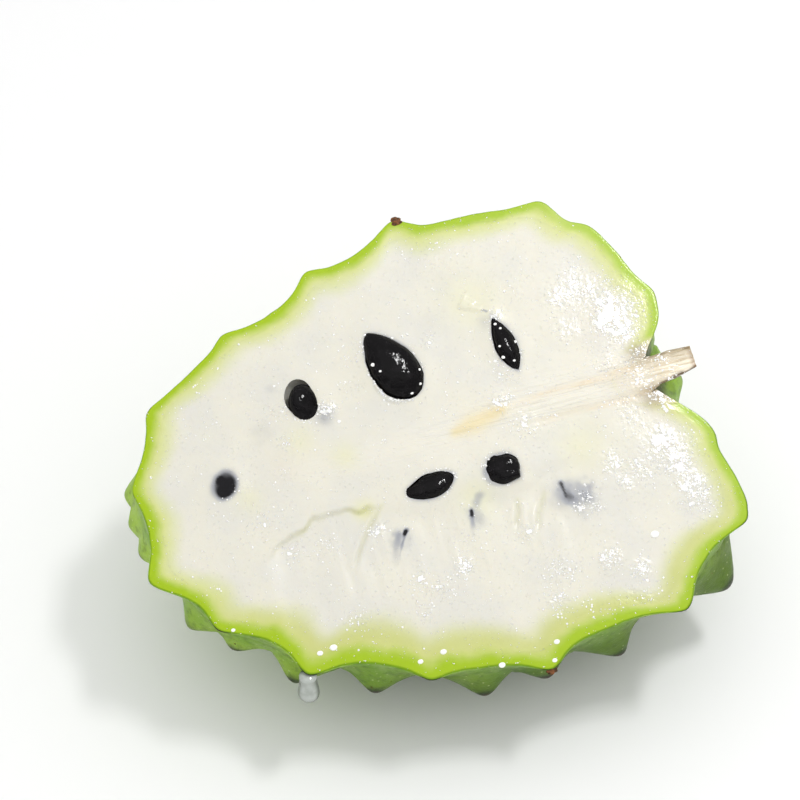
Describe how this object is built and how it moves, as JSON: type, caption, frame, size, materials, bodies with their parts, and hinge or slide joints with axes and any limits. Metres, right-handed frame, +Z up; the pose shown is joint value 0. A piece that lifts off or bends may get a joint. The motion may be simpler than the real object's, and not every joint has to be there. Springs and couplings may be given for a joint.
{
  "type": "atemoya half",
  "caption": "Atemoya cut in half from stem to blossom end, lying on its bumpy green skin with the cream flesh, core and dark seeds facing up and forward.",
  "frame": {"origin": "centre of the bounding box's bottom, on the surface that the half rests on", "axes": "+Z up; the cut face leans from level towards -Y; the stem points to +X and a little up"},
  "size_m": [0.1292, 0.0988, 0.0699],
  "materials": {
    "rind": "waxy, yellow-green bumps with paler valleys",
    "flesh": "wet cream-white pulp, greener towards the rind",
    "core": "moist beige fibre, dry brown bark on the stub",
    "seed": "glossy black seed coat"
  },
  "bodies": {
    "root": {"skin": "rind", "flesh": "flesh", "stem_and_core": "core", "seed_1": "seed", "seed_2": "seed", "seed_3": "seed", "seed_4": "seed", "seed_5": "seed", "seed_6": "seed", "seed_7": "seed", "seed_8": "seed", "seed_9": "seed"}
  },
  "joints": []
}
